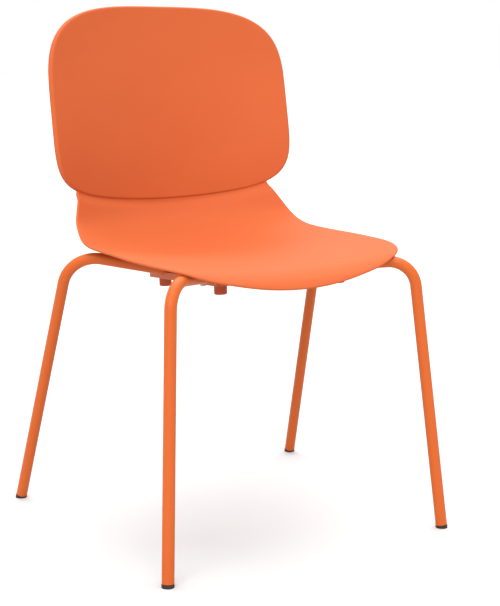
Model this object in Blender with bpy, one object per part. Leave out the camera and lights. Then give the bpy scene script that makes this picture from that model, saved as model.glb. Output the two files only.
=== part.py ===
"""Stacking chair: a one-piece moulded shell on a bent steel tube frame.

Metres, +Z up. The chair faces -Y and its left-right symmetry plane is X = 0.
Lengths below are in millimetres and are turned into metres where meshes are made.
"""

import math

import bmesh
import bpy
import numpy as np
from mathutils import Matrix, Vector

MM = 0.001
GAP = 0.3
SMOOTH_ANGLE = math.radians(35.0)
# How far a cutter reaches past the faces it cuts
CUT_PAST = 2.0

# The working origin is on the floor, midway between the front and rear feet.
# The whole chair is moved forward, towards -Y, by this much, which centres its box on the origin.
CENTRE_SHIFT_Y = 0.22

# Tubes of the frame
TUBE_R = 9.0
TUBE_WALL = 1.8
TUBE_SIDES = 16
FRONT_FOOT = (243.4, -242.8)
REAR_FOOT = (268.6, 242.8)
FRONT_LEAN = (-0.0774, 0.1053)
REAR_LEAN = (-0.080, -0.3401)
FRONT_KNEE_Z = 423.0
REAR_KNEE_Z = 429.5
FRONT_KNEE_R = 42.0
REAR_KNEE_R = 57.0
SPAN_X = 104.0
FRONT_SPAN = (-129.0, 413.5)
REAR_SPAN = (6.0, 404.5)
SPAN_R = 60.0
FRONT_TUBE_END_Z = 4.5
REAR_TUBE_END_Z = 5.5
BEND_STEP = math.radians(11.0)

# Side rails, shallow channels under both tubes, notched round them
RAIL_X = 104.0
RAIL_W = 24.0
RAIL_T = 3.0
RAIL_FLANGE_T = 2.0
RAIL_FLANGE_H = 8.0
NOTCH_GAP = 0.25
NOTCH_SIDES = 32
RAIL_BACK_Y = 58.0
RAIL_FRONT_Y = -164.0
RAIL_CORNER_R = 6.0
RAIL_CORNER_STEPS = 4

# Stacking buffers, pressed into the rails
BUFFER_R = 9.6
BUFFER_H = 12.6
BUFFER_STUD_R = 4.0
BUFFER_EDGE = (1.6, 1.7)
BUFFER_MID_EDGE = (0.4, 0.5)
BUFFER_SIDES = 20
BUFFER_Y = (-150.0, 24.0)

# Shell fixings, on the rails between the tubes
FIXING_Y = (-98.0, -40.0)
SCREW_R = 2.5
SCREW_L = 14.0
SCREW_HEAD_R = 4.8
SCREW_HEAD_H = 3.0
SOCKET_R = 1.7
SOCKET_DEPTH = 1.8
SCREW_HEAD_EDGE = (1.2, 1.8)
SCREW_HEAD_MID_EDGE = (0.3, 0.8)
SCREW_TIP = 0.8
SCREW_SIDES = 18
WASHER_R = 6.2
WASHER_T = 1.0
INSERT_R = 4.2
INSERT_L = 10.0
INSERT_LOW = 1.0
INSERT_SPARE = 2.0
BOSS_R = 8.5
BOSS_SINK = 2.0
BOSS_SIDES = 20

# Glides, plugged into the tube ends
GLIDE_R = 9.3
GLIDE_PLUG_L = 18.0
# The collar is drawn this far below the floor, then cut level
GLIDE_BELOW = 6.0
PLUG_CHAMFER = 1.2

# Shell: stations from the front edge to the top of the neck.
# Each is the centre line's (y, z), then the side line's (y, z) and half width.
SHELL_T = 4.2
STATIONS = (
    ((-216.5, 399.5), (-214.0, 409.5), 226.0),
    ((-204.5, 413.5), (-203.0, 426.5), 226.0),
    ((-184.0, 425.0), (-183.0, 439.5), 226.0),
    ((-145.0, 428.5), (-144.5, 443.5), 226.0),
    ((-98.0, 429.0), (-98.0, 445.0), 225.8),
    ((-47.0, 426.5), (-46.0, 446.2), 225.5),
    ((5.0, 423.5), (3.0, 446.6), 224.8),
    ((52.0, 421.5), (46.0, 447.2), 221.8),
    ((95.0, 423.0), (79.0, 449.2), 216.2),
    ((136.0, 430.0), (101.5, 452.6), 210.5),
    ((172.0, 442.0), (122.0, 460.2), 204.8),
    ((200.0, 458.0), (139.5, 472.0), 199.5),
    ((215.5, 475.0), (153.5, 487.5), 192.5),
    ((222.5, 493.0), (166.5, 503.5), 185.0),
    ((226.0, 512.0), (179.5, 519.0), 179.0),
    ((228.0, 538.0), (187.0, 541.0), 170.0),
)
CROSS_POWER = 1.92
FRONT_TIP_Y = -216.5
FRONT_CROWN = 31.0
FRONT_CORNER_Y = -90.0
FRONT_POWERS = (10.0, 1.68)
SEAT_POINTS = 76
SEAT_SCALES = (0.16, 0.32, 0.46, 0.58, 0.69, 0.78, 0.86, 0.93, 0.975, 1.0)

# Back panel, a rounded front layer whose lower edge laps over the neck
PANEL_LOW = 493.0
PANEL_HIGH = 815.0
PANEL_HALF_W = 218.6
PANEL_LOW_POWERS = (8.0, 5.2)
PANEL_LOW_CROWN = 28.0
PANEL_HIGH_POWERS = (3.4, 3.6)
PANEL_Y = (221.0, 17.0)
PANEL_BOWS = (61.5, 42.0)
PANEL_BOW_FADE = (0.15, 0.80)
PANEL_WALL = 5.0
PANEL_RIM = 9.6
PANEL_POINTS = 64
PANEL_SCALES = (0.22, 0.42, 0.60, 0.76, 0.88, 0.945, 0.962, 1.0)

# The neck runs back behind the panel's lower edge over this height below it, leaving a step,
# and its top is then drawn into the panel's wall over this height above it.
NECK_TUCK_BELOW = 16.0
NECK_STEP = 2.2
NECK_HIDE = 0.4
NECK_HIDE_ABOVE = 12.0

COLOURS = {
    "shell": (0.82, 0.17, 0.05, 1.0),
    "frame": (0.85, 0.20, 0.035, 1.0),
    "buffer": (0.42, 0.07, 0.025, 1.0),
    "glide": (0.03, 0.022, 0.02, 1.0),
    "steel": (0.62, 0.62, 0.60, 1.0),
    "brass": (0.72, 0.55, 0.25, 1.0),
}


# ---------------------------------------------------------------- helpers

def clear_scene():
    for item in list(bpy.data.objects):
        bpy.data.objects.remove(item, do_unlink=True)


def make_material(name, colour, roughness, metallic):
    material = bpy.data.materials.new(name)
    material.use_nodes = True
    shader = material.node_tree.nodes["Principled BSDF"]
    shader.inputs["Base Color"].default_value = colour
    shader.inputs["Roughness"].default_value = roughness
    shader.inputs["Metallic"].default_value = metallic
    material.diffuse_color = colour
    return material


def finish_mesh(name, mesh_data, material, parent):
    """Turns a bmesh in metres into a named object, with its normals facing out."""
    bmesh.ops.remove_doubles(mesh_data, verts=mesh_data.verts, dist=1e-7)
    bmesh.ops.recalc_face_normals(mesh_data, faces=mesh_data.faces)
    mesh = bpy.data.meshes.new(name)
    mesh_data.to_mesh(mesh)
    mesh_data.free()
    mesh.shade_smooth()
    mesh.set_sharp_from_angle(angle=SMOOTH_ANGLE)
    mesh.materials.append(material)
    item = bpy.data.objects.new(name, mesh)
    bpy.context.scene.collection.objects.link(item)
    item.parent = parent
    return item


def loft(rings, closed_tube=False):
    """Joins rings of equal size. The ends are capped unless the last ring meets the first."""
    mesh_data = bmesh.new()
    made = [[mesh_data.verts.new(Vector(point) * MM) for point in ring] for ring in rings]
    count = len(rings[0])
    pairs = list(zip(made[:-1], made[1:]))
    if closed_tube:
        pairs.append((made[-1], made[0]))
    for low, high in pairs:
        for side in range(count):
            after = (side + 1) % count
            mesh_data.faces.new((low[side], low[after], high[after], high[side]))
    if not closed_tube:
        mesh_data.faces.new(made[0][::-1])
        mesh_data.faces.new(made[-1])
    return mesh_data


def circle(radius, z, sides):
    turn = 2 * math.pi / sides
    return [(radius * math.cos(k * turn), radius * math.sin(k * turn), z) for k in range(sides)]


def turned(profile, sides):
    """A solid turned about Z from (radius, z) pairs that don't touch the axis."""
    return loft([circle(radius, z, sides) for radius, z in profile])


def turned_ring(profile, sides):
    """A solid turned about Z whose (radius, z) profile is a closed loop off the axis."""
    return loft([circle(radius, z, sides) for radius, z in profile], closed_tube=True)


# ---------------------------------------------------------------- frame tubes

def leg_point(foot, lean, z, side):
    return Vector((side * (foot[0] + lean[0] * z), foot[1] + lean[1] * z, z))


def fillet(before, corner, after, radius):
    """Points and tangents of the arc that rounds a corner of a route."""
    start = (corner - before).normalized()
    end = (after - corner).normalized()
    angle = start.angle(end)
    reach = radius * math.tan(angle / 2)
    first = corner - start * reach
    inward = (end - start * start.dot(end)).normalized()
    centre = first + inward * radius
    steps = max(2, round(angle / BEND_STEP))
    arc = []
    for k in range(steps + 1):
        turn = angle * k / steps
        point = centre - inward * radius * math.cos(turn) + start * radius * math.sin(turn)
        arc.append((point, start * math.cos(turn) + inward * math.sin(turn)))
    return arc


def route(corners, radii):
    """Points and tangents along straight runs between corners, each rounded by its radius."""
    first = (corners[1] - corners[0]).normalized()
    last = (corners[-1] - corners[-2]).normalized()
    path = [(corners[0], first)]
    for k, radius in enumerate(radii):
        path += fillet(corners[k], corners[k + 1], corners[k + 2], radius)
    path.append((corners[-1], last))
    return path


def sweep_rings(path, radius, sides):
    """Rings about a route. Each frame is the one before it, turned the shortest way."""
    rings = []
    across = path[0][1].orthogonal().normalized()
    for point, tangent in path:
        across = (across - tangent * across.dot(tangent)).normalized()
        other = tangent.cross(across)
        ring = []
        for k in range(sides):
            turn = 2 * math.pi * k / sides
            ring.append(point + (across * math.cos(turn) + other * math.sin(turn)) * radius)
        rings.append(ring)
    return rings


def tube_corners(foot, lean, knee_z, span, end_z):
    """A leg up to its knee, in to the level span, and down the other leg."""
    return [
        leg_point(foot, lean, end_z, -1),
        leg_point(foot, lean, knee_z, -1),
        Vector((-SPAN_X, span[0], span[1])),
        Vector((SPAN_X, span[0], span[1])),
        leg_point(foot, lean, knee_z, 1),
        leg_point(foot, lean, end_z, 1),
    ]


def frame_tube(name, foot, lean, knee_z, knee_r, span, end_z, material, parent):
    """A hollow tube along its corners, each bend rounded."""
    corners = tube_corners(foot, lean, knee_z, span, end_z)
    path = route(corners, (knee_r, SPAN_R, SPAN_R, knee_r))
    outer = sweep_rings(path, TUBE_R, TUBE_SIDES)
    inner = sweep_rings(path, TUBE_R - TUBE_WALL, TUBE_SIDES)
    mesh_data = loft(outer + inner[::-1], closed_tube=True)
    return finish_mesh(name, mesh_data, material, parent)


# ---------------------------------------------------------------- glides

def glide(name, foot, lean, side, end_z, material, parent):
    """A plug in the tube's end under a collar whose sole is cut level with the floor."""
    base = leg_point(foot, lean, 0.0, side)
    axis = (leg_point(foot, lean, 1.0, side) - base).normalized()
    seat = end_z / axis.z - GAP
    plug_r = TUBE_R - TUBE_WALL - GAP
    top = seat + GLIDE_PLUG_L
    profile = (
        (GLIDE_R, -GLIDE_BELOW),
        (GLIDE_R, seat),
        (plug_r, seat),
        (plug_r, top - PLUG_CHAMFER),
        (plug_r - PLUG_CHAMFER, top),
    )
    mesh_data = turned(profile, TUBE_SIDES)
    place = Matrix.Translation(base * MM) @ axis.to_track_quat("Z", "X").to_matrix().to_4x4()
    mesh_data.transform(place)
    everything = mesh_data.verts[:] + mesh_data.edges[:] + mesh_data.faces[:]
    bmesh.ops.bisect_plane(
        mesh_data, geom=everything, plane_co=(0, 0, 0), plane_no=(0, 0, -1), clear_outer=True
    )
    rim = [edge for edge in mesh_data.edges if edge.is_boundary]
    bmesh.ops.contextual_create(mesh_data, geom=rim)
    return finish_mesh(name, mesh_data, material, parent)


# ---------------------------------------------------------------- rails and what they carry

def rail_frame(side, parent, name):
    """An empty on the rail's top face, tipped so that the rail touches both tubes."""
    rise = (FRONT_SPAN[1] - REAR_SPAN[1]) / (REAR_SPAN[0] - FRONT_SPAN[0])
    tilt = math.atan(rise)
    drop = (TUBE_R + GAP) / math.cos(tilt)
    frame = bpy.data.objects.new(name, None)
    bpy.context.scene.collection.objects.link(frame)
    frame.parent = parent
    frame.location = Vector((side * RAIL_X, REAR_SPAN[0], REAR_SPAN[1] - drop)) * MM
    frame.rotation_euler = (-tilt, 0.0, 0.0)
    return frame


def rail_y(y):
    """A place along the rail, measured from the rear tube."""
    return y - REAR_SPAN[0]


def cut(target, cutter_mesh, name, parent):
    """A Boolean difference by a hidden cutter."""
    cutter = finish_mesh(name, cutter_mesh, target.data.materials[0], parent)
    cutter.hide_render = True
    cutter.display_type = "WIRE"
    modifier = target.modifiers.new(name, "BOOLEAN")
    modifier.operation = "DIFFERENCE"
    modifier.object = cutter


def join(target, added_mesh, name, parent):
    """A Boolean union with a hidden helper."""
    added = finish_mesh(name, added_mesh, target.data.materials[0], parent)
    added.hide_render = True
    added.display_type = "WIRE"
    modifier = target.modifiers.new(name, "BOOLEAN")
    modifier.operation = "UNION"
    modifier.object = added


def drill(radius, low, high):
    return turned([(radius, low), (radius, high)], TUBE_SIDES)


def rail_outline(inset):
    """A rectangle with rounded corners, seen from above and drawn in by inset."""
    half = RAIL_W / 2 - inset
    back = rail_y(RAIL_BACK_Y) - inset
    front = rail_y(RAIL_FRONT_Y) + inset
    radius = RAIL_CORNER_R - inset
    centres = (
        (half - radius, back - radius, 0.0),
        (-half + radius, back - radius, 90.0),
        (-half + radius, front + radius, 180.0),
        (half - radius, front + radius, 270.0),
    )
    outline = []
    for x, y, start in centres:
        for step in range(RAIL_CORNER_STEPS + 1):
            turn = math.radians(start + 90.0 * step / RAIL_CORNER_STEPS)
            outline.append((x + radius * math.cos(turn), y + radius * math.sin(turn)))
    return outline


def rail_block(inset, low, high):
    outline = rail_outline(inset)
    return loft([[(x, y, z) for x, y in outline] for z in (low, high)])


def notch(foot, lean, knee_z, span):
    """The clearance round a tube's level span and its bends down to the knees."""
    corners = tube_corners(foot, lean, knee_z, span, 0.0)[1:-1]
    path = route(corners, (SPAN_R, SPAN_R))
    return loft(sweep_rings(path, TUBE_R + NOTCH_GAP, NOTCH_SIDES))


def rail(name, frame, material, parent):
    item = finish_mesh(name, rail_block(0.0, -RAIL_T, RAIL_FLANGE_H), material, frame)
    channel = rail_block(RAIL_FLANGE_T, 0.0, RAIL_FLANGE_H + CUT_PAST)
    cut(item, channel, f"{name}_channel", frame)
    front_notch = notch(FRONT_FOOT, FRONT_LEAN, FRONT_KNEE_Z, FRONT_SPAN)
    cut(item, front_notch, f"{name}_front_notch", parent)
    rear_notch = notch(REAR_FOOT, REAR_LEAN, REAR_KNEE_Z, REAR_SPAN)
    cut(item, rear_notch, f"{name}_rear_notch", parent)
    for k, y in enumerate(FIXING_Y):
        hole = drill(SCREW_R + GAP, -RAIL_T - CUT_PAST, CUT_PAST)
        hole.transform(Matrix.Translation(Vector((0, rail_y(y), 0)) * MM))
        cut(item, hole, f"{name}_screw_hole_{k}", frame)
    for k, y in enumerate(BUFFER_Y):
        hole = drill(BUFFER_STUD_R + GAP, -RAIL_T - CUT_PAST, CUT_PAST)
        hole.transform(Matrix.Translation(Vector((0, rail_y(y), 0)) * MM))
        cut(item, hole, f"{name}_buffer_hole_{k}", frame)
    return item


def buffer(name, frame, y, material):
    """A round peg under the rail, with a stud pressed into the rail's hole."""
    top = -RAIL_T - GAP
    profile = (
        (BUFFER_R - BUFFER_EDGE[0], top - BUFFER_H),
        (BUFFER_R - BUFFER_MID_EDGE[0], top - BUFFER_H + BUFFER_MID_EDGE[1]),
        (BUFFER_R, top - BUFFER_H + BUFFER_EDGE[1]),
        (BUFFER_R, top),
        (BUFFER_STUD_R, top),
        (BUFFER_STUD_R, -GAP),
    )
    item = finish_mesh(name, turned(profile, BUFFER_SIDES), material, frame)
    item.location = Vector((0, rail_y(y), 0)) * MM
    return item


def washer(name, frame, y, material):
    top = -RAIL_T - GAP
    hole = SCREW_R + GAP
    profile = ((hole, top - WASHER_T), (WASHER_R, top - WASHER_T), (WASHER_R, top), (hole, top))
    item = finish_mesh(name, turned_ring(profile, TUBE_SIDES), material, frame)
    item.location = Vector((0, rail_y(y), 0)) * MM
    return item


def screw(name, frame, y, material):
    """A pan head screw with a hexagon socket, head down."""
    seat = -RAIL_T - WASHER_T - 2 * GAP
    head = (
        (SCREW_HEAD_R - SCREW_HEAD_EDGE[0], seat - SCREW_HEAD_H),
        (SCREW_HEAD_R - SCREW_HEAD_MID_EDGE[0], seat - SCREW_HEAD_H + SCREW_HEAD_MID_EDGE[1]),
        (SCREW_HEAD_R, seat - SCREW_HEAD_H + SCREW_HEAD_EDGE[1]),
        (SCREW_HEAD_R, seat),
        (SCREW_R, seat),
        (SCREW_R, seat + SCREW_L - SCREW_TIP),
        (SCREW_R - SCREW_TIP, seat + SCREW_L),
    )
    item = finish_mesh(name, turned(head, SCREW_SIDES), material, frame)
    item.location = Vector((0, rail_y(y), 0)) * MM
    face = seat - SCREW_HEAD_H
    ends = (face - CUT_PAST, face + SOCKET_DEPTH)
    socket = loft([circle(SOCKET_R, z, 6) for z in ends])
    socket.transform(Matrix.Translation(Vector((0, rail_y(y), 0)) * MM))
    cut(item, socket, f"{name}_socket", frame)
    return item


def insert(name, frame, y, material):
    """A brass sleeve moulded into the shell's boss, which the screw threads into."""
    hole = SCREW_R + GAP
    high = INSERT_LOW + INSERT_L
    profile = ((hole, INSERT_LOW), (INSERT_R, INSERT_LOW), (INSERT_R, high), (hole, high))
    item = finish_mesh(name, turned_ring(profile, TUBE_SIDES), material, frame)
    item.location = Vector((0, rail_y(y), 0)) * MM
    return item


# ---------------------------------------------------------------- shell

def smooth_step(value):
    value = np.clip(value, 0.0, 1.0)
    return value * value * (3 - 2 * value)


def through_stations(values, at):
    """A smooth curve through evenly numbered values, with slopes from their neighbours."""
    last = len(values) - 1
    place = np.clip(at, 0.0, 1.0) * last
    k = np.minimum(place.astype(int), last - 1)
    t = place - k
    slopes = np.gradient(values)
    return (
        values[k] * (2 * t**3 - 3 * t**2 + 1)
        + slopes[k] * (t**3 - 2 * t**2 + t)
        + values[k + 1] * (3 * t**2 - 2 * t**3)
        + slopes[k + 1] * (t**3 - t**2)
    )


CENTRE_Y, CENTRE_Z = np.array([station[0] for station in STATIONS]).T
SIDE_Y, SIDE_Z = np.array([station[1] for station in STATIONS]).T
HALF_WIDTHS = np.array([station[2] for station in STATIONS])


def panel_y(x, z):
    """Where the panel's front face is: bowed in plan, more at its foot than at its top."""
    t = (z - PANEL_LOW) / (PANEL_HIGH - PANEL_LOW)
    fade = smooth_step((t - PANEL_BOW_FADE[0]) / (PANEL_BOW_FADE[1] - PANEL_BOW_FADE[0]))
    bow = PANEL_BOWS[0] + (PANEL_BOWS[1] - PANEL_BOWS[0]) * fade
    return PANEL_Y[0] + PANEL_Y[1] * t - bow * (np.abs(x) / PANEL_HALF_W) ** CROSS_POWER


def panel_foot(x):
    """The height of the panel's lower edge: crowned, and rounded up into its corners."""
    share = np.clip(np.abs(x) / PANEL_HALF_W, 0.0, 1.0)
    height = (PANEL_HIGH - PANEL_LOW) / 2 - PANEL_LOW_CROWN * share**2
    drop = height * (1 - share ** PANEL_LOW_POWERS[0]) ** (1 / PANEL_LOW_POWERS[1])
    return (PANEL_HIGH + PANEL_LOW) / 2 - drop


def panel_surface(x, z):
    return np.stack([x, panel_y(x, z), z], axis=-1)


def seat_surface(x, along):
    """The sitting surface and the neck's front, along from the front edge (0) to the neck's top (1)."""
    dish = (np.abs(x) / through_stations(HALF_WIDTHS, along)) ** CROSS_POWER
    centre_y = through_stations(CENTRE_Y, along)
    centre_z = through_stations(CENTRE_Z, along)
    y = centre_y + (through_stations(SIDE_Y, along) - centre_y) * dish
    z = centre_z + (through_stations(SIDE_Z, along) - centre_z) * dish
    above = z - panel_foot(x)
    tuck = smooth_step(1 + above / NECK_TUCK_BELOW)
    depth = NECK_STEP + (NECK_HIDE - NECK_STEP) * smooth_step(above / NECK_HIDE_ABOVE)
    y = y * (1 - tuck) + (panel_y(x, z) + depth) * tuck
    return np.stack([x, y, z], axis=-1)


def normals_of(surface, a, b, steps):
    """Unit normals of a surface, from differences to both sides of each place."""
    along_a = surface(a + steps[0], b) - surface(a - steps[0], b)
    along_b = surface(a, b + steps[1]) - surface(a, b - steps[1])
    crossed = np.cross(along_a, along_b)
    return crossed / np.linalg.norm(crossed, axis=-1, keepdims=True)


def front_line(x):
    """The seat's front edge seen from above: crowned, with rounded corners."""
    share = np.clip(np.abs(x) / HALF_WIDTHS[0], 0.0, 1.0)
    reach = FRONT_TIP_Y + FRONT_CROWN * share**2 - FRONT_CORNER_Y
    return FRONT_CORNER_Y + reach * (1 - share ** FRONT_POWERS[0]) ** (1 / FRONT_POWERS[1])


def outline_of(inside, reach, count):
    """Offsets from the middle to a closed outline, at evenly spaced turns about it."""
    turns = 2 * np.pi * np.arange(count) / count
    directions = np.stack([reach[0] * np.cos(turns), reach[1] * np.sin(turns)], axis=-1)
    low = np.zeros(count)
    high = np.full(count, 2.0)
    for _ in range(40):
        middle = (low + high) / 2
        within = inside(*(directions * middle[:, None]).T)
        low = np.where(within, middle, low)
        high = np.where(within, high, middle)
    return directions * low[:, None]


def inside_seat(x, offset):
    along = offset + 0.5
    within = (along >= 0) & (along <= 1) & (np.abs(x) <= through_stations(HALF_WIDTHS, along))
    return within & (seat_surface(x, along)[:, 1] >= front_line(x))


def inside_panel(x, offset):
    share = np.abs(x) / PANEL_HALF_W
    up = offset >= 0
    across_power = np.where(up, PANEL_HIGH_POWERS[0], PANEL_LOW_POWERS[0])
    height_power = np.where(up, PANEL_HIGH_POWERS[1], PANEL_LOW_POWERS[1])
    crown = np.where(up, 0.0, PANEL_LOW_CROWN) * np.minimum(share, 1.0) ** 2
    height = (PANEL_HIGH - PANEL_LOW) / 2 - crown
    return share**across_power + (np.abs(offset) / height) ** height_power <= 1


def sheet_mesh(surface, middle, outline, scales, thicknesses, steps):
    """A closed sheet: rings from its middle out to its outline, over its front and its back."""
    fronts = []
    backs = []
    for scale, thickness in zip(scales, thicknesses):
        at = middle[0] + outline[:, 0] * scale, middle[1] + outline[:, 1] * scale
        points = surface(*at)
        fronts.append(points)
        backs.append(points + normals_of(surface, *at, steps) * thickness)
    rings = fronts + backs[::-1]
    count = len(outline)
    mesh_data = bmesh.new()
    made = [[mesh_data.verts.new(Vector(point) * MM) for point in ring] for ring in rings]
    for inner, outer in zip(made[:-1], made[1:]):
        for k in range(count):
            after = (k + 1) % count
            mesh_data.faces.new((inner[k], inner[after], outer[after], outer[k]))
    hub_at = np.array([middle[0]]), np.array([middle[1]])
    hub = surface(*hub_at)[0]
    hub_normal = normals_of(surface, *hub_at, steps)[0]
    for ring, depth in ((made[0], 0.0), (made[-1], thicknesses[0])):
        vertex = mesh_data.verts.new(Vector(hub + hub_normal * depth) * MM)
        for k in range(count):
            mesh_data.faces.new((ring[k], ring[(k + 1) % count], vertex))
    return mesh_data


def seat_mesh():
    """The seat and neck. The surface's normals point up, so the thickness is taken downwards."""
    outline = outline_of(inside_seat, (HALF_WIDTHS[0], 0.5), SEAT_POINTS)
    thicknesses = [-SHELL_T] * len(SEAT_SCALES)
    return sheet_mesh(seat_surface, (0.0, 0.5), outline, SEAT_SCALES, thicknesses, (0.5, 1e-3))


def panel_mesh():
    """The back panel, with its rim turned back as a lip. Its normals point forwards."""
    half_h = (PANEL_HIGH - PANEL_LOW) / 2
    outline = outline_of(inside_panel, (PANEL_HALF_W, half_h), PANEL_POINTS)
    thicknesses = [-PANEL_WALL] * (len(PANEL_SCALES) - 2) + [-PANEL_RIM] * 2
    middle = 0.0, PANEL_LOW + half_h
    return sheet_mesh(panel_surface, middle, outline, PANEL_SCALES, thicknesses, (0.5, 0.5))


def underside_height(x, y):
    """The height of the seat's underside above a place under it."""
    low, high = 0.0, 0.8
    for _ in range(40):
        along = (low + high) / 2
        point = seat_surface(np.array([x]), np.array([along]))[0]
        if point[1] < y:
            low = along
        else:
            high = along
    return float(point[2]) - SHELL_T


def shell(name, frames, material, parent):
    item = finish_mesh(name, seat_mesh(), material, parent)
    join(item, panel_mesh(), f"{name}_panel", parent)
    for frame in frames:
        foot = frame.location / MM
        slope = math.tan(-frame.rotation_euler.x)
        for k, y in enumerate(FIXING_Y):
            height = underside_height(RAIL_X, y) - foot.z - (foot.y - y) * slope
            boss = turned([(BOSS_R, GAP), (BOSS_R, height + BOSS_SINK)], BOSS_SIDES)
            boss.transform(Matrix.Translation(Vector((0, rail_y(y), 0)) * MM))
            join(item, boss, f"{frame.name}_boss_{k}", frame)
    for frame in frames:
        for k, y in enumerate(FIXING_Y):
            hole = drill(INSERT_R + GAP, -CUT_PAST, INSERT_LOW + INSERT_L + INSERT_SPARE)
            hole.transform(Matrix.Translation(Vector((0, rail_y(y), 0)) * MM))
            cut(item, hole, f"{frame.name}_boss_hole_{k}", frame)
    return item


# ---------------------------------------------------------------- assembly

def build():
    clear_scene()
    bpy.context.scene.unit_settings.scale_length = 1.0
    shell_plastic = make_material("shell_plastic", COLOURS["shell"], 0.45, 0.0)
    frame_coat = make_material("frame_coat", COLOURS["frame"], 0.35, 0.0)
    buffer_plastic = make_material("buffer_plastic", COLOURS["buffer"], 0.5, 0.0)
    glide_plastic = make_material("glide_plastic", COLOURS["glide"], 0.5, 0.0)
    steel = make_material("zinc_steel", COLOURS["steel"], 0.3, 1.0)
    brass = make_material("brass", COLOURS["brass"], 0.3, 1.0)

    chair = bpy.data.objects.new("chair_origin", None)
    bpy.context.scene.collection.objects.link(chair)
    chair.location = (0.0, -CENTRE_SHIFT_Y * MM, 0.0)

    frame_tube(
        "front_leg_tube", FRONT_FOOT, FRONT_LEAN, FRONT_KNEE_Z, FRONT_KNEE_R, FRONT_SPAN,
        FRONT_TUBE_END_Z, frame_coat, chair,
    )
    frame_tube(
        "rear_leg_tube", REAR_FOOT, REAR_LEAN, REAR_KNEE_Z, REAR_KNEE_R, REAR_SPAN,
        REAR_TUBE_END_Z, frame_coat, chair,
    )

    frames = []
    for side, hand in ((-1, "left"), (1, "right")):
        glide(f"front_{hand}_glide", FRONT_FOOT, FRONT_LEAN, side, FRONT_TUBE_END_Z, glide_plastic, chair)
        glide(f"rear_{hand}_glide", REAR_FOOT, REAR_LEAN, side, REAR_TUBE_END_Z, glide_plastic, chair)
        frame = rail_frame(side, chair, f"{hand}_rail_frame")
        frames.append(frame)
        rail(f"{hand}_side_rail", frame, frame_coat, chair)
        for place, y in zip(("front", "rear"), BUFFER_Y):
            buffer(f"{place}_{hand}_buffer", frame, y, buffer_plastic)
        for place, y in zip(("front", "rear"), FIXING_Y):
            washer(f"{place}_{hand}_washer", frame, y, steel)
            screw(f"{place}_{hand}_screw", frame, y, steel)
            insert(f"{place}_{hand}_insert", frame, y, brass)
    shell("seat_shell", frames, shell_plastic, chair)


build()
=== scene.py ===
"""Looks of the stacking chair: fine surfaces, finishes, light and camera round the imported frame.

Lengths are in millimetres and are turned into metres where meshes are made.
The chair faces -Y, X runs across it, and its symmetry plane is X = 0.
"""

import math

import bmesh
import bpy
import numpy as np
from mathutils import Matrix, Vector


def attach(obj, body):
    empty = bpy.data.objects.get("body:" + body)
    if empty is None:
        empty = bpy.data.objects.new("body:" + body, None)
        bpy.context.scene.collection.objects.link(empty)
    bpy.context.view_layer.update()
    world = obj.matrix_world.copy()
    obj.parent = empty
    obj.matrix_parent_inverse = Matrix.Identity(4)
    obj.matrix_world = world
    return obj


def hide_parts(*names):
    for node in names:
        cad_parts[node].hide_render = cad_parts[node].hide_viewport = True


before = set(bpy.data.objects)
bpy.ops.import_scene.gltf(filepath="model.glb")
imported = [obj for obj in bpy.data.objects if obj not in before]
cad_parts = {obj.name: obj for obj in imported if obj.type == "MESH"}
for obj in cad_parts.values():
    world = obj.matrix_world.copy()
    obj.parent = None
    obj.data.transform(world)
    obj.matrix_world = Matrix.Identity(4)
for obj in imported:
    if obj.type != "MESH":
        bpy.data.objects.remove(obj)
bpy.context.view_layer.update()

MM = 0.001
GAP = 0.3
SMOOTH_ANGLE = math.radians(35.0)
MERGE_WITHIN_M = 1e-7
CUT_PAST = 2.0
TURNED_SIDES = 64
ROUND_STEPS = 6

# The chair's working origin lies this far along Y from the frame's.
SHIFT = Vector((0.0, -0.22, 0.0))

# Tubes of the frame. A foot is its leg's (x, y) at the floor, a lean the leg's change in (x, y)
# for each unit of height, and a span its (y, z).
TUBE_R = 9.0
TUBE_WALL = 1.8
TUBE_SIDES = 48
FRONT_FOOT = (243.4, -242.8)
REAR_FOOT = (268.6, 242.8)
FRONT_LEAN = (-0.0774, 0.1053)
REAR_LEAN = (-0.080, -0.3401)
FRONT_KNEE_Z = 423.0
REAR_KNEE_Z = 429.5
FRONT_KNEE_R = 42.0
REAR_KNEE_R = 57.0
SPAN_X = 104.0
FRONT_SPAN = (-129.0, 413.5)
REAR_SPAN = (6.0, 404.5)
SPAN_R = 60.0
FRONT_TUBE_END_Z = 4.5
REAR_TUBE_END_Z = 5.5
TUBE_LIP = 0.4
BEND_STEP = math.radians(3.0)

# Side rails, shallow channels under both tubes, notched round them and welded to them
RAIL_X = 104.0
RAIL_W = 24.0
RAIL_T = 3.0
RAIL_FLANGE_T = 2.0
RAIL_FLANGE_H = 8.0
NOTCH_GAP = 0.25
RAIL_BACK_Y = 58.0
RAIL_FRONT_Y = -164.0
RAIL_CORNER_R = 6.0
RAIL_CORNER_STEPS = 12
RAIL_EDGE = 0.6
WELD_R = 2.3
WELD_RIPPLE = 0.22
WELD_RIPPLES = 9
WELD_HALF = 9.5
WELD_OFF = 5.6
WELD_RISE = 1.0
# A bead thins towards its ends as the root of 1 - share ** power, held at the least or more.
WELD_TAPER_POWER = 4
WELD_TAPER_LEAST = 0.02
WELD_STEPS = 54
WELD_SIDES = 16

# Stacking buffers
BUFFER_R = 9.6
BUFFER_H = 12.6
BUFFER_STUD_R = 4.0
BUFFER_Y = (-150.0, 24.0)
BUFFER_ROUND = 2.2

# Shell fixings
FIXING_Y = (-98.0, -40.0)
SCREW_R = 2.5
BOSS_R = 8.5
BOSS_SINK = 2.0
BOSS_FLARE = 2.5
BOSS_BEVEL = 0.625
INSERT_R = 4.2
INSERT_LOW = 1.0
INSERT_L = 10.0
INSERT_SPARE = 2.0

# Glides, plugged into the tube ends
GLIDE_R = 9.3
GLIDE_PLUG_L = 18.0
GLIDE_ROUND = 0.8
PLUG_CHAMFER = 1.2
GLIDE_BELOW = 6.0

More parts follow.
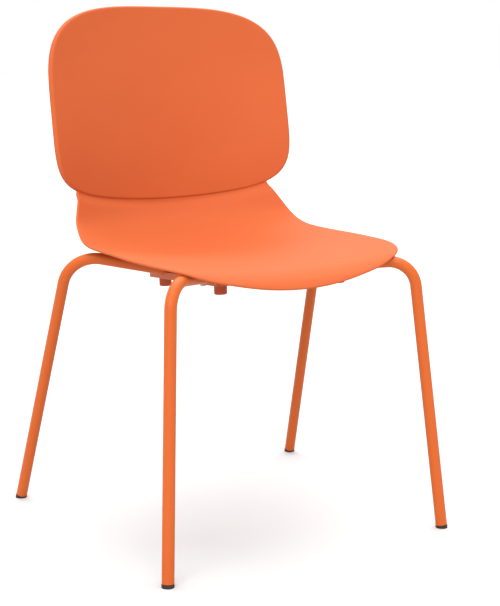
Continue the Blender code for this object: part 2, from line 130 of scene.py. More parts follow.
# Shell: stations from the front edge to the top of the neck.
# Each is the centre line's (y, z), then the side line's (y, z) and half width.
SHELL_T = 4.2
STATIONS = (
    ((-216.5, 399.5), (-214.0, 409.5), 226.0),
    ((-204.5, 413.5), (-203.0, 426.5), 226.0),
    ((-184.0, 425.0), (-183.0, 439.5), 226.0),
    ((-145.0, 428.5), (-144.5, 443.5), 226.0),
    ((-98.0, 429.0), (-98.0, 445.0), 225.8),
    ((-47.0, 426.5), (-46.0, 446.2), 225.5),
    ((5.0, 423.5), (3.0, 446.6), 224.8),
    ((52.0, 421.5), (46.0, 447.2), 221.8),
    ((95.0, 423.0), (79.0, 449.2), 216.2),
    ((136.0, 430.0), (101.5, 452.6), 210.5),
    ((172.0, 442.0), (122.0, 460.2), 204.8),
    ((200.0, 458.0), (139.5, 472.0), 199.5),
    ((215.5, 475.0), (153.5, 487.5), 192.5),
    ((222.5, 493.0), (166.5, 503.5), 185.0),
    ((226.0, 512.0), (179.5, 519.0), 179.0),
    ((228.0, 538.0), (187.0, 541.0), 170.0),
)
CENTRE_Y, CENTRE_Z = np.array([station[0] for station in STATIONS]).T
SIDE_Y, SIDE_Z = np.array([station[1] for station in STATIONS]).T
HALF_WIDTHS = np.array([station[2] for station in STATIONS])
CROSS_POWER = 1.92
FRONT_TIP_Y = -216.5
FRONT_CROWN = 31.0
FRONT_CORNER_Y = -90.0
FRONT_POWERS = (10.0, 1.68)
EDGE_ROLL = 1.0
EDGE_ROLL_W = 18.0
ROLL_FADE_Z = (470.0, 500.0)
NO_ROLL = (0.0, 1.0)
SEAT_RINGS = 34
SEAT_POINTS = 288
# The seat's outline is worked out from half way along the shell.
MIDWAY = 0.5
# Steps for the slopes of the shell's surface: millimetres across, then a share of the way along.
SEAT_STEPS = (0.5, 1e-3)
# The places above the bosses are searched for between these shares of the way along.
BOSS_SEARCH = (0.0, 0.8)

# Back panel, a rounded front layer whose lower edge laps over the neck
PANEL_LOW = 493.0
PANEL_HIGH = 815.0
PANEL_HALF_W = 218.6
PANEL_LOW_POWERS = (8.0, 5.2)
PANEL_LOW_CROWN = 28.0
PANEL_HIGH_POWERS = (3.4, 3.6)
PANEL_Y = (221.0, 17.0)
PANEL_BOWS = (61.5, 42.0)
PANEL_BOW_FADE = (0.15, 0.80)
PANEL_WALL = 5.0
PANEL_RIM = 9.6
PANEL_RIM_R = 3.2
PANEL_LIP = (5.0, 12.0)
PANEL_RINGS = 30
PANEL_POINTS = 288
# Steps for the slopes of the panel's surface: millimetres across, then up.
PANEL_STEPS = (0.5, 0.5)

# A sheet's rings crowd towards its edge by a power, and those nearer to it than this many rim
# radii are left out.
RIM_STEPS = 5
RING_CROWD = 1.5
RING_STOP = 1.3
# An outline is searched for out to this many times its reach. Each search halves its range
# this many times.
OUTLINE_REACH = 2.0
HALVINGS = 44

# The neck runs back behind the panel's lower edge over this height below it, leaving a step,
# and its top is then drawn into the panel's wall over this height above it.
NECK_TUCK_BELOW = 16.0
NECK_STEP = 2.2
NECK_HIDE = 0.4
NECK_HIDE_ABOVE = 12.0

# Finishes
SPECULAR = 0.18
COAT_ROUGHNESS = 0.3
NOISE_ROUGHNESS = 0.5
NOISE_MIDDLE = (0.3, 0.7)
BROAD_DETAIL = 3.0
GRAIN_DETAIL = 2.0

# Floor (metres), light and camera (metres and degrees, lens and sensor in millimetres)
FLOOR_HALF = 60.0
FLOOR_TONE = 0.50
SKY_STRENGTH = 1.0
# Each sun: name, place that it shines from (metres, only its direction counts), strength, spread
SUNS = (
    ("key", (0.7, 0.8, 3.0), 3.7, 64.0),
    ("fill", (-1.7, -1.9, 2.2), 2.6, 60.0),
)
CAMERA_AT = (-1.0815, -1.8613, 0.7257)
CAMERA_DOWN = 10.04
CAMERA_ROUND = -30.99
CAMERA_LENS = 81.41
CAMERA_SENSOR = 36.0


# ---------------------------------------------------------------- mesh helpers

def mesh_object(name, points, faces, place=None):
    """A named object from points in millimetres, with its normals facing out."""
    place = place or Matrix.Identity(4)
    mesh_data = bmesh.new()
    verts = [mesh_data.verts.new((place @ Vector(point) + SHIFT) * MM) for point in points]
    for face in faces:
        mesh_data.faces.new([verts[k] for k in face])
    bmesh.ops.remove_doubles(mesh_data, verts=mesh_data.verts, dist=MERGE_WITHIN_M)
    bmesh.ops.recalc_face_normals(mesh_data, faces=mesh_data.faces)
    mesh = bpy.data.meshes.new(name)
    mesh_data.to_mesh(mesh)
    mesh_data.free()
    mesh.shade_smooth()
    mesh.set_sharp_from_angle(angle=SMOOTH_ANGLE)
    item = bpy.data.objects.new(name, mesh)
    bpy.context.scene.collection.objects.link(item)
    return item


def loft(name, rings, closed_tube=False, place=None):
    """Joins rings of equal size. The ends are capped unless the last ring meets the first."""
    count = len(rings[0])
    points = [point for ring in rings for point in ring]
    pairs = [(k, k + 1) for k in range(len(rings) - 1)]
    if closed_tube:
        pairs.append((len(rings) - 1, 0))
    faces = []
    for low, high in pairs:
        for side in range(count):
            after = (side + 1) % count
            faces.append((
                low * count + side, low * count + after,
                high * count + after, high * count + side,
            ))
    if not closed_tube:
        last = (len(rings) - 1) * count
        faces.append(tuple(range(count))[::-1])
        faces.append(tuple(range(last, last + count)))
    return mesh_object(name, points, faces, place)


def circle(radius, z, sides=TURNED_SIDES):
    """Points of a level circle about Z."""
    turns = [2 * math.pi * k / sides for k in range(sides)]
    return [(radius * math.cos(turn), radius * math.sin(turn), z) for turn in turns]


def turned(name, profile, place):
    """A solid turned about its own Z from (radius, z) pairs that don't touch the axis."""
    return loft(name, [circle(radius, z) for radius, z in profile], place=place)


def combine(item, other, operation):
    """Applies a Boolean with a helper object and removes the helper."""
    modifier = item.modifiers.new("combine", "BOOLEAN")
    modifier.operation = operation
    modifier.solver = "EXACT"
    modifier.object = other
    bpy.context.view_layer.update()
    graph = bpy.context.evaluated_depsgraph_get()
    made = bpy.data.meshes.new_from_object(item.evaluated_get(graph))
    item.modifiers.remove(modifier)
    old = item.data
    item.data = made
    made.shade_smooth()
    made.set_sharp_from_angle(angle=SMOOTH_ANGLE)
    bpy.data.meshes.remove(old)
    bpy.data.objects.remove(other)


def smooth_step(value):
    """Rises from 0 to 1 as value does, level at both ends."""
    value = np.clip(value, 0.0, 1.0)
    return value * value * (3 - 2 * value)


def quarter_turns():
    """Evenly spaced angles for a quarter round."""
    return [math.pi / 2 * k / ROUND_STEPS for k in range(ROUND_STEPS + 1)]


# ---------------------------------------------------------------- shell surfaces

def through_stations(values, at):
    """A smooth curve through evenly numbered values, with slopes from their neighbours."""
    last = len(values) - 1
    place = np.clip(at, 0.0, 1.0) * last
    k = np.minimum(place.astype(int), last - 1)
    t = place - k
    slopes = np.gradient(values)
    return (
        values[k] * (2 * t**3 - 3 * t**2 + 1)
        + slopes[k] * (t**3 - 2 * t**2 + t)
        + values[k + 1] * (3 * t**2 - 2 * t**3)
        + slopes[k + 1] * (t**3 - t**2)
    )


def panel_y(x, z):
    """Where the panel's front face is: bowed in plan, more at its foot than at its top."""
    t = (z - PANEL_LOW) / (PANEL_HIGH - PANEL_LOW)
    fade = smooth_step((t - PANEL_BOW_FADE[0]) / (PANEL_BOW_FADE[1] - PANEL_BOW_FADE[0]))
    bow = PANEL_BOWS[0] + (PANEL_BOWS[1] - PANEL_BOWS[0]) * fade
    return PANEL_Y[0] + PANEL_Y[1] * t - bow * (np.abs(x) / PANEL_HALF_W) ** CROSS_POWER


def panel_foot(x):
    """The height of the panel's lower edge: crowned, and rounded up into its corners."""
    share = np.clip(np.abs(x) / PANEL_HALF_W, 0.0, 1.0)
    height = (PANEL_HIGH - PANEL_LOW) / 2 - PANEL_LOW_CROWN * share**2
    drop = height * (1 - share ** PANEL_LOW_POWERS[0]) ** (1 / PANEL_LOW_POWERS[1])
    return (PANEL_HIGH + PANEL_LOW) / 2 - drop


def panel_surface(x, z):
    """The panel's front face."""
    return np.stack([x, panel_y(x, z), z], axis=-1)


def seat_surface(x, along):
    """The sitting surface and the neck's front, along from the front edge (0) to the neck's top (1)."""
    dish = (np.abs(x) / through_stations(HALF_WIDTHS, along)) ** CROSS_POWER
    centre_y = through_stations(CENTRE_Y, along)
    centre_z = through_stations(CENTRE_Z, along)
    y = centre_y + (through_stations(SIDE_Y, along) - centre_y) * dish
    z = centre_z + (through_stations(SIDE_Z, along) - centre_z) * dish
    above = z - panel_foot(x)
    tuck = smooth_step(1 + above / NECK_TUCK_BELOW)
    depth = NECK_STEP + (NECK_HIDE - NECK_STEP) * smooth_step(above / NECK_HIDE_ABOVE)
    y = y * (1 - tuck) + (panel_y(x, z) + depth) * tuck
    return np.stack([x, y, z], axis=-1)


def normals_of(surface, a, b, steps):
    """Unit normals of a surface, from differences to both sides of each place."""
    along_a = surface(a + steps[0], b) - surface(a - steps[0], b)
    along_b = surface(a, b + steps[1]) - surface(a, b - steps[1])
    crossed = np.cross(along_a, along_b)
    return crossed / np.linalg.norm(crossed, axis=-1, keepdims=True)


def front_line(x):
    """The seat's front edge seen from above: crowned, with rounded corners."""
    share = np.clip(np.abs(x) / HALF_WIDTHS[0], 0.0, 1.0)
    reach = FRONT_TIP_Y + FRONT_CROWN * share**2 - FRONT_CORNER_Y
    return FRONT_CORNER_Y + reach * (1 - share ** FRONT_POWERS[0]) ** (1 / FRONT_POWERS[1])


def outline_of(inside, reach, count):
    """Offsets from the middle to a closed outline, at evenly spaced turns about it."""
    turns = 2 * np.pi * np.arange(count) / count
    directions = np.stack([reach[0] * np.cos(turns), reach[1] * np.sin(turns)], axis=-1)
    low = np.zeros(count)
    high = np.full(count, OUTLINE_REACH)
    for _ in range(HALVINGS):
        middle = (low + high) / 2
        within = inside(*(directions * middle[:, None]).T)
        low = np.where(within, middle, low)
        high = np.where(within, high, middle)
    return directions * low[:, None]


def inside_seat(x, offset):
    """Whether places on the shell's surface are within the seat's and neck's outline."""
    along = offset + MIDWAY
    within = (along >= 0) & (along <= 1) & (np.abs(x) <= through_stations(HALF_WIDTHS, along))
    return within & (seat_surface(x, along)[:, 1] >= front_line(x))


def inside_panel(x, offset):
    """Whether places on the panel, measured up from its middle, are within its outline."""
    share = np.abs(x) / PANEL_HALF_W
    up = offset >= 0
    across_power = np.where(up, PANEL_HIGH_POWERS[0], PANEL_LOW_POWERS[0])
    height_power = np.where(up, PANEL_HIGH_POWERS[1], PANEL_LOW_POWERS[1])
    crown = np.where(up, 0.0, PANEL_LOW_CROWN) * np.minimum(share, 1.0) ** 2
    height = (PANEL_HIGH - PANEL_LOW) / 2 - crown
    return share**across_power + (np.abs(offset) / height) ** height_power <= 1


def outward_of(points, normals):
    """At each point of a closed outline, the unit vector out of it along the surface."""
    along = np.roll(points, -1, axis=0) - np.roll(points, 1, axis=0)
    out = np.cross(along, normals)
    out /= np.linalg.norm(out, axis=1, keepdims=True)
    facing = np.sum(out * (points - points.mean(axis=0)), axis=1)
    return out * np.sign(facing.sum())


def rim_lines(edge, out, normals, radius, thickness):
    """Rings round a rim: a quarter round in front, then one behind."""
    lines = []
    turns = np.linspace(0, math.pi / 2, RIM_STEPS + 1)
    for turn in turns:
        inward = out * radius * (math.sin(turn) - 1)
        lines.append(edge + inward - normals * radius * (1 - math.cos(turn)))
    back_r = min(radius, thickness - radius)
    for turn in turns:
        inward = out * back_r * (math.cos(turn) - 1)
        lines.append(edge + inward - normals * (thickness - back_r * (1 - math.sin(turn))))
    return lines


def roll_depth(points, roll):
    """How far an edge is rolled down, fading out where the neck goes behind the panel."""
    low, high = ROLL_FADE_Z
    return roll[0] * (1 - smooth_step((points[:, 2] - low) / (high - low)))


def shell_sheet(name, surface, middle, outline, steps, rings, wall, rim, rim_r, lip, roll):
    """A closed sheet: rings over its front, a rounded rim, and rings over its back.

    surface maps two coordinates to a point, and outline holds offsets from middle in them.
    wall is the thickness inside and rim the thickness of the turned-back lip. lip is how far
    from the edge it starts and ends to thin. roll is how far the edge is rolled down, and over
    what width.
    """
    border_at = middle[0] + outline[:, 0], middle[1] + outline[:, 1]
    border = surface(*border_at)
    border_normals = normals_of(surface, *border_at, steps)
    fronts = []
    backs = []
    for k in range(1, rings + 1):
        scale = 1 - (1 - k / rings) ** RING_CROWD
        at = middle[0] + outline[:, 0] * scale, middle[1] + outline[:, 1] * scale
        points = surface(*at)
        normals = normals_of(surface, *at, steps)
        distance = np.linalg.norm(points - border, axis=1)
        drop = roll_depth(points, roll) * np.clip(1 - distance / roll[1], 0.0, 1.0) ** 2
        points = points - normals * drop[:, None]
        thickness = wall + (rim - wall) * smooth_step((lip[1] - distance) / (lip[1] - lip[0]))
        if k < rings and distance.min() > rim_r * RING_STOP:
            fronts.append(points)
            backs.append(points - normals * thickness[:, None])
    edge = border - border_normals * roll_depth(border, roll)[:, None]
    rounded = rim_lines(edge, outward_of(border, border_normals), border_normals, rim_r, rim)
    sheet = fronts + rounded + backs[::-1]
    count = len(outline)
    points = [tuple(point) for line in sheet for point in line]
    faces = []
    for low in range(len(sheet) - 1):
        for k in range(count):
            after = (k + 1) % count
            lower, upper = low * count, (low + 1) * count
            faces.append((lower + k, lower + after, upper + after, upper + k))
    hub_at = np.array([middle[0]]), np.array([middle[1]])
    hub = surface(*hub_at)[0]
    hub_back = hub - normals_of(surface, *hub_at, steps)[0] * wall
    for line, point in ((0, hub), (len(sheet) - 1, hub_back)):
        points.append(tuple(point))
        for k in range(count):
            faces.append((line * count + k, line * count + (k + 1) % count, len(points) - 1))
    return mesh_object(name, points, faces)


def underside_height(x, y):
    """The height of the seat's underside above a place under it."""
    low, high = BOSS_SEARCH
    for _ in range(HALVINGS):
        along = (low + high) / 2
        point = seat_surface(np.array([x]), np.array([along]))[0]
        if point[1] < y:
            low = along
        else:
            high = along
    return float(point[2]) - SHELL_T


def rail_tilt():
    """How far the rails are tipped, which is as far as the tubes' spans differ in height."""
    rise = (FRONT_SPAN[1] - REAR_SPAN[1]) / (REAR_SPAN[0] - FRONT_SPAN[0])
    return math.atan(rise)


def rail_place(side, y=REAR_SPAN[0]):
    """The place of a piece on a rail's top face, tipped as the rail is. y runs along the rail."""
    tilt = rail_tilt()
    drop = (TUBE_R + GAP) / math.cos(tilt)
    foot = Matrix.Translation((side * RAIL_X, REAR_SPAN[0], REAR_SPAN[1] - drop))
    return foot @ Matrix.Rotation(-tilt, 4, "X") @ Matrix.Translation((0, y - REAR_SPAN[0], 0))


def boss(side, y):
    """A round boss under the seat, flared where it meets the seat."""
    place = rail_place(side, y)
    foot = place.translation
    high = underside_height(RAIL_X, foot.y) - foot.z
    profile = [(BOSS_R - BOSS_BEVEL, GAP), (BOSS_R, GAP + BOSS_BEVEL)]
    for turn in quarter_turns():
        across = BOSS_R + BOSS_FLARE * (1 - math.cos(turn))
        profile.append((across, high - BOSS_FLARE * (1 - math.sin(turn))))
    profile.append((BOSS_R + BOSS_FLARE, high + BOSS_SINK))
    return turned("boss", profile, place)


def build_shell():
    """Seat, neck and back panel in one moulding, with its bosses and their holes."""
    seat = shell_sheet(
        "moulded_shell", seat_surface, (0.0, MIDWAY),
        outline_of(inside_seat, (HALF_WIDTHS[0], MIDWAY), SEAT_POINTS), SEAT_STEPS, SEAT_RINGS,
        SHELL_T, SHELL_T, SHELL_T / 2, PANEL_LIP, (EDGE_ROLL, EDGE_ROLL_W),
    )
    half_h = (PANEL_HIGH - PANEL_LOW) / 2
    panel = shell_sheet(
        "panel", panel_surface, (0.0, PANEL_LOW + half_h),
        outline_of(inside_panel, (PANEL_HALF_W, half_h), PANEL_POINTS), PANEL_STEPS, PANEL_RINGS,
        PANEL_WALL, PANEL_RIM, PANEL_RIM_R, PANEL_LIP, NO_ROLL,
    )
    combine(seat, panel, "UNION")
    hole_top = INSERT_LOW + INSERT_L + INSERT_SPARE
    hole = ((INSERT_R + GAP, -CUT_PAST), (INSERT_R + GAP, hole_top))
    for side in (-1, 1):
        for y in FIXING_Y:
            combine(seat, boss(side, y), "UNION")
            combine(seat, turned("hole", hole, rail_place(side, y)), "DIFFERENCE")
    return seat


# ---------------------------------------------------------------- frame tubes

def leg_point(foot, lean, z, side):
    """Where a leg's centre line is at a height."""
    return Vector((side * (foot[0] + lean[0] * z), foot[1] + lean[1] * z, z))


def fillet(before, corner, after, radius):
    """Points and tangents of the arc that rounds a corner of a route."""
    start = (corner - before).normalized()
    end = (after - corner).normalized()
    angle = start.angle(end)
    first = corner - start * radius * math.tan(angle / 2)
    inward = (end - start * start.dot(end)).normalized()
    centre = first + inward * radius
    steps = max(2, round(angle / BEND_STEP))
    arc = []
    for k in range(steps + 1):
        turn = angle * k / steps
        point = centre - inward * radius * math.cos(turn) + start * radius * math.sin(turn)
        arc.append((point, start * math.cos(turn) + inward * math.sin(turn)))
    return arc


def route(corners, radii):
    """Points and tangents along straight runs between corners, each rounded by its radius."""
    first = (corners[1] - corners[0]).normalized()
    last = (corners[-1] - corners[-2]).normalized()
    path = [(corners[0], first)]
    for k, radius in enumerate(radii):
        path += fillet(corners[k], corners[k + 1], corners[k + 2], radius)
    path.append((corners[-1], last))
    return path


def sweep_rings(path, radius):
    """Rings about a route. Each is turned the shortest way from the one before it."""
    rings = []
    across = path[0][1].orthogonal().normalized()
    for point, tangent in path:
        across = (across - tangent * across.dot(tangent)).normalized()
        other = tangent.cross(across)
        rings.append([
            point + (across * math.cos(turn) + other * math.sin(turn)) * radius
            for turn in np.arange(TUBE_SIDES) * (2 * math.pi / TUBE_SIDES)
        ])
    return rings


def tube_corners(foot, lean, knee_z, span, end_z):
    """A leg up to its knee, in to the level span, and down the other leg."""
    return [
        leg_point(foot, lean, end_z, -1),
        leg_point(foot, lean, knee_z, -1),
        Vector((-SPAN_X, span[0], span[1])),
        Vector((SPAN_X, span[0], span[1])),
        leg_point(foot, lean, knee_z, 1),
        leg_point(foot, lean, end_z, 1),
    ]


def frame_tube(name, foot, lean, knee_z, knee_r, span, end_z):
    """A hollow tube along its corners, each bend rounded, with eased lips."""
    corners = tube_corners(foot, lean, knee_z, span, end_z)
    path = route(corners, (knee_r, SPAN_R, SPAN_R, knee_r))
    inset = [(path[0][0] + path[0][1] * TUBE_LIP, path[0][1])]
    inset += path[1:-1]
    inset += [(path[-1][0] - path[-1][1] * TUBE_LIP, path[-1][1])]
    outer = sweep_rings(inset, TUBE_R)
    inner = sweep_rings(path, TUBE_R - TUBE_WALL)
    lips = sweep_rings(path, TUBE_R - TUBE_LIP)
    rings = [lips[0]] + outer + [lips[-1]] + inner[::-1]
    return loft(name, rings, closed_tube=True)


# ---------------------------------------------------------------- glides, rails and buffers

def glide(name, foot, lean, side, end_z):
    """A plug in the tube's end under a collar whose sole is cut level with the floor."""
    base = leg_point(foot, lean, 0.0, side)
    axis = (leg_point(foot, lean, 1.0, side) - base).normalized()
    seat = end_z / axis.z - GAP
    plug_r = TUBE_R - TUBE_WALL - GAP
    top = seat + GLIDE_PLUG_L
    profile = [(GLIDE_R, -GLIDE_BELOW), (GLIDE_R, seat - GLIDE_ROUND)]
    for turn in quarter_turns()[1:]:
        across = GLIDE_R - GLIDE_ROUND * (1 - math.cos(turn))
        profile.append((across, seat - GLIDE_ROUND * (1 - math.sin(turn))))
    profile += [(plug_r, seat), (plug_r, top - PLUG_CHAMFER), (plug_r - PLUG_CHAMFER, top)]
    place = Matrix.Translation(base) @ axis.to_track_quat("Z", "X").to_matrix().to_4x4()
    item = turned(name, profile, place)
    mesh_data = bmesh.new()
    mesh_data.from_mesh(item.data)
    everything = mesh_data.verts[:] + mesh_data.edges[:] + mesh_data.faces[:]
    bmesh.ops.bisect_plane(
        mesh_data, geom=everything, plane_co=(0, 0, 0), plane_no=(0, 0, -1), clear_outer=True
    )
    rim = [edge for edge in mesh_data.edges if edge.is_boundary]
    bmesh.ops.contextual_create(mesh_data, geom=rim)
    mesh_data.to_mesh(item.data)
    mesh_data.free()
    item.data.set_sharp_from_angle(angle=SMOOTH_ANGLE)
    return item


def rail_ring(inset, z):
    """The rail's outline, a rectangle with rounded corners, drawn in by inset."""
    half = RAIL_W / 2 - inset
    back = RAIL_BACK_Y - REAR_SPAN[0] - inset
    front = RAIL_FRONT_Y - REAR_SPAN[0] + inset
    radius = RAIL_CORNER_R - inset
    centres = (
        (half - radius, back - radius, 0.0),
        (-half + radius, back - radius, 90.0),
        (-half + radius, front + radius, 180.0),
        (half - radius, front + radius, 270.0),
    )
    ring = []
    for x, y, start in centres:
        for step in range(RAIL_CORNER_STEPS + 1):
            turn = math.radians(start + 90.0 * step / RAIL_CORNER_STEPS)
            ring.append((x + radius * math.cos(turn), y + radius * math.sin(turn), z))
    return ring


def weld(side, tube_y, hand):
    """A rippled bead across the rail, in the nook between it and one side of a tube."""
    rings = []
    for k in range(WELD_STEPS + 1):
        share = 2 * k / WELD_STEPS - 1
        taper = math.sqrt(max(1 - share**WELD_TAPER_POWER, WELD_TAPER_LEAST))
        ripple = WELD_RIPPLE * math.cos(math.pi * WELD_RIPPLES * share)
        radius = (WELD_R + ripple) * taper
        ring = []
        for x, y, _ in circle(radius, 0.0, WELD_SIDES):
            ring.append((share * WELD_HALF, hand * WELD_OFF + x, WELD_RISE + y))
        rings.append(ring)
    return loft("weld", rings, place=rail_place(side, tube_y))


def notch(foot, lean, knee_z, span):
    """The clearance round a tube's level span and its bends down to the knees."""
    corners = tube_corners(foot, lean, knee_z, span, 0.0)[1:-1]
    path = route(corners, (SPAN_R, SPAN_R))
    return loft("notch", sweep_rings(path, TUBE_R + NOTCH_GAP))


def rail(name, side):
    """A shallow channel with eased edges, its notches and holes, and its welds to both tubes."""
    rings = []
    for turn in quarter_turns():
        inset = RAIL_EDGE * (1 - math.sin(turn))
        rings.append(rail_ring(inset, -RAIL_T + RAIL_EDGE * (1 - math.cos(turn))))
    for turn in quarter_turns():
        inset = RAIL_EDGE * (1 - math.cos(turn))
        rings.append(rail_ring(inset, RAIL_FLANGE_H - RAIL_EDGE * (1 - math.sin(turn))))
    item = loft(name, rings, place=rail_place(side))
    ends = (0.0, RAIL_FLANGE_H + CUT_PAST)
    channel = loft("channel", [rail_ring(RAIL_FLANGE_T, z) for z in ends], place=rail_place(side))
    combine(item, channel, "DIFFERENCE")
    combine(item, notch(FRONT_FOOT, FRONT_LEAN, FRONT_KNEE_Z, FRONT_SPAN), "DIFFERENCE")
    combine(item, notch(REAR_FOOT, REAR_LEAN, REAR_KNEE_Z, REAR_SPAN), "DIFFERENCE")
    for radius, places in ((SCREW_R, FIXING_Y), (BUFFER_STUD_R, BUFFER_Y)):
        for y in places:
            hole = ((radius + GAP, -RAIL_T - CUT_PAST), (radius + GAP, CUT_PAST))
            combine(item, turned("hole", hole, rail_place(side, y)), "DIFFERENCE")
    for tube_y in (FRONT_SPAN[0], REAR_SPAN[0]):
        for hand in (-1, 1):
            combine(item, weld(side, tube_y, hand), "UNION")
    return item


def buffer(name, side, y):
    """A round peg under the rail with a soft lower edge, and a stud in the rail's hole."""
    top = -RAIL_T - GAP
    low = top - BUFFER_H
    profile = []
    for turn in quarter_turns():
        across = BUFFER_R - BUFFER_ROUND * (1 - math.sin(turn))
        profile.append((across, low + BUFFER_ROUND * (1 - math.cos(turn))))
    profile += [(BUFFER_R, top), (BUFFER_STUD_R, top), (BUFFER_STUD_R, -GAP)]
    return turned(name, profile, rail_place(side, y))


# ---------------------------------------------------------------- finishes

def set_inputs(node, **values):
    """Sets a node's sockets, named with _ for their spaces."""
    for name, value in values.items():
        node.inputs[name.replace("_", " ")].default_value = value


def noise(nodes, links, place, scale, detail):
    """A noise over the object's own metres, as a value near 0.5."""
    node = nodes.new("ShaderNodeTexNoise")
    set_inputs(node, Scale=scale, Detail=detail, Roughness=NOISE_ROUGHNESS)
    links.new(place, node.inputs["Vector"])
    return node.outputs["Fac"]


def spread(nodes, links, value, low, high):
    """Maps the middle of a noise's range to low ... high."""
    node = nodes.new("ShaderNodeMapRange")
    from_low, from_high = NOISE_MIDDLE
    set_inputs(node, From_Min=from_low, From_Max=from_high, To_Min=low, To_Max=high)
    links.new(value, node.inputs["Value"])
    return node.outputs["Result"]


def blend(nodes, links, factor, first, second):
    """Mixes two colours by a factor."""
    node = nodes.new("ShaderNodeMix")
    node.data_type = "RGBA"
    links.new(factor, node.inputs["Factor"])
    node.inputs["A"].default_value = (*first, 1.0)
    node.inputs["B"].default_value = (*second, 1.0)
    return node.outputs["Result"]


def finish(name, colours, roughness, grain, broad=7.0, metallic=0.0, stretch=(1.0, 1.0, 1.0), coat=0.0):
    """A finish whose tone and gloss wander slowly and whose surface has a fine grain.

    colours and roughness are the two ends of the wander, broad its scale per metre. grain is
    the fine relief's (scale per metre, strength, height in metres). stretch draws out the
    pattern along an axis, as brushing does.
    """
    material = bpy.data.materials.new(name)
    material.use_nodes = True
    nodes, links = material.node_tree.nodes, material.node_tree.links
    shader = nodes["Principled BSDF"]
    set_inputs(shader, Metallic=metallic, Coat_Weight=coat, Coat_Roughness=COAT_ROUGHNESS)
    shader.inputs["Specular IOR Level"].default_value = SPECULAR
    coordinates = nodes.new("ShaderNodeTexCoord")
    mapping = nodes.new("ShaderNodeMapping")
    mapping.inputs["Scale"].default_value = stretch
    links.new(coordinates.outputs["Object"], mapping.inputs["Vector"])
    place = mapping.outputs["Vector"]
    slow = noise(nodes, links, place, broad, BROAD_DETAIL)
    tone = spread(nodes, links, slow, 0.0, 1.0)
    links.new(blend(nodes, links, tone, *colours), shader.inputs["Base Color"])
    fine = noise(nodes, links, place, grain[0], GRAIN_DETAIL)
    gloss = spread(nodes, links, fine, *roughness)
    links.new(gloss, shader.inputs["Roughness"])
    bump = nodes.new("ShaderNodeBump")
    set_inputs(bump, Strength=grain[1], Distance=grain[2])
    links.new(fine, bump.inputs["Height"])
    links.new(bump.outputs["Normal"], shader.inputs["Normal"])
    return material


FINISHES = {
    "shell_plastic": finish(
        "moulded_grain", ((0.445, 0.086, 0.0225), (0.463, 0.091, 0.0245)), (0.62, 0.74),
        (1400.0, 0.10, 0.0002),
    ),
    "frame_coat": finish(
        "powder_coat", ((0.450, 0.082, 0.0100), (0.473, 0.088, 0.0115)), (0.40, 0.52),
        (900.0, 0.18, 0.0002), coat=0.10,
    ),
    # The buffers' tone is darker than the shell's: partly their own darker plastic, partly painted
    # shade of their place under the seat.
    "buffer_plastic": finish(
        "buffer_moulding_and_painted_shade", ((0.330, 0.055, 0.016), (0.360, 0.063, 0.020)), (0.50, 0.64),
        (1500.0, 0.15, 0.0002),
    ),
    "glide_plastic": finish(
        "glide_moulding", ((0.020, 0.014, 0.012), (0.034, 0.026, 0.022)), (0.45, 0.66),
        (1100.0, 0.25, 0.0002), broad=160.0,
    ),
    "zinc_steel": finish(
        "zinc_plate", ((0.32, 0.31, 0.30), (0.40, 0.39, 0.37)), (0.32, 0.46),
        (1800.0, 0.10, 0.0001), broad=260.0, metallic=1.0,
    ),
    "brass": finish(
        "turned_brass", ((0.68, 0.50, 0.20), (0.76, 0.58, 0.26)), (0.22, 0.36),
        (900.0, 0.12, 0.0001), broad=200.0, metallic=1.0, stretch=(1.0, 1.0, 8.0),
    ),
}


def dress(item, slot, *nodes):
    """Gives a new piece its finish and its body, and hides the CAD nodes that it stands for."""
    item.data.materials.clear()
    item.data.materials.append(FINISHES[slot])
    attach(item, "root")
    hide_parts(*nodes)


def dress_node(name, slot):
    """Gives a CAD node that stays its finish."""
    for material_slot in bpy.data.objects[name].material_slots:
        material_slot.material = FINISHES[slot]


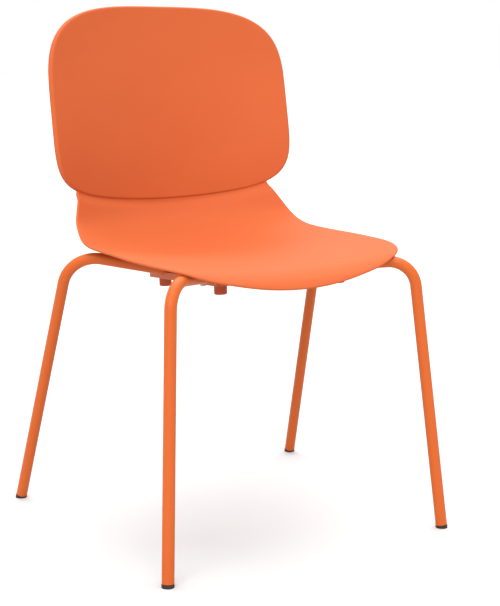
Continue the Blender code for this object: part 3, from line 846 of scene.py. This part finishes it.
def dress_chair():
    """Builds every visible piece and dresses it, and dresses the CAD nodes that stay."""
    dress(build_shell(), "shell_plastic", "seat_shell")
    dress(
        frame_tube(
            "front_tube", FRONT_FOOT, FRONT_LEAN, FRONT_KNEE_Z, FRONT_KNEE_R, FRONT_SPAN,
            FRONT_TUBE_END_Z,
        ),
        "frame_coat", "front_leg_tube",
    )
    dress(
        frame_tube(
            "rear_tube", REAR_FOOT, REAR_LEAN, REAR_KNEE_Z, REAR_KNEE_R, REAR_SPAN,
            REAR_TUBE_END_Z,
        ),
        "frame_coat", "rear_leg_tube",
    )
    for side, hand in ((-1, "left"), (1, "right")):
        dress(rail(f"{hand}_rail", side), "frame_coat", f"{hand}_side_rail")
        front_glide = glide(f"front_{hand}_foot", FRONT_FOOT, FRONT_LEAN, side, FRONT_TUBE_END_Z)
        dress(front_glide, "glide_plastic", f"front_{hand}_glide")
        rear_glide = glide(f"rear_{hand}_foot", REAR_FOOT, REAR_LEAN, side, REAR_TUBE_END_Z)
        dress(rear_glide, "glide_plastic", f"rear_{hand}_glide")
        for end, y in zip(("front", "rear"), BUFFER_Y):
            peg = buffer(f"{end}_{hand}_peg", side, y)
            dress(peg, "buffer_plastic", f"{end}_{hand}_buffer")
        for end in ("front", "rear"):
            dress_node(f"{end}_{hand}_screw", "zinc_steel")
            dress_node(f"{end}_{hand}_washer", "zinc_steel")
            dress_node(f"{end}_{hand}_insert", "brass")


# ---------------------------------------------------------------- floor, light and camera

def add_floor():
    corners = [(-1, -1), (1, -1), (1, 1), (-1, 1)]
    mesh = bpy.data.meshes.new("floor")
    points = [(x * FLOOR_HALF, y * FLOOR_HALF, 0.0) for x, y in corners]
    mesh.from_pydata(points, [], [(0, 1, 2, 3)])
    floor = bpy.data.objects.new("floor", mesh)
    bpy.context.scene.collection.objects.link(floor)
    material = bpy.data.materials.new("floor")
    material.use_nodes = True
    tone = (FLOOR_TONE, FLOOR_TONE, FLOOR_TONE, 1.0)
    set_inputs(material.node_tree.nodes["Principled BSDF"], Base_Color=tone, Roughness=1.0)
    mesh.materials.append(material)


def add_sun(name, place, strength, spread_degrees):
    light = bpy.data.lights.new(name, "SUN")
    light.energy = strength
    light.angle = math.radians(spread_degrees)
    item = bpy.data.objects.new(name, light)
    item.location = place
    item.rotation_euler = (-Vector(place)).to_track_quat("-Z", "Y").to_euler()
    bpy.context.scene.collection.objects.link(item)


def add_world():
    world = bpy.data.worlds.new("studio")
    world.use_nodes = True
    set_inputs(
        world.node_tree.nodes["Background"], Color=(1.0, 1.0, 1.0, 1.0), Strength=SKY_STRENGTH
    )
    bpy.context.scene.world = world


def add_camera():
    camera = bpy.data.cameras.new("camera")
    camera.sensor_width = CAMERA_SENSOR
    camera.lens = CAMERA_LENS
    item = bpy.data.objects.new("camera", camera)
    item.location = CAMERA_AT
    item.rotation_euler = (math.radians(90.0 - CAMERA_DOWN), 0.0, math.radians(CAMERA_ROUND))
    bpy.context.scene.collection.objects.link(item)
    bpy.context.scene.camera = item


dress_chair()
add_floor()
add_world()
for sun in SUNS:
    add_sun(*sun)
add_camera()
bpy.context.scene.view_settings.view_transform = "Standard"
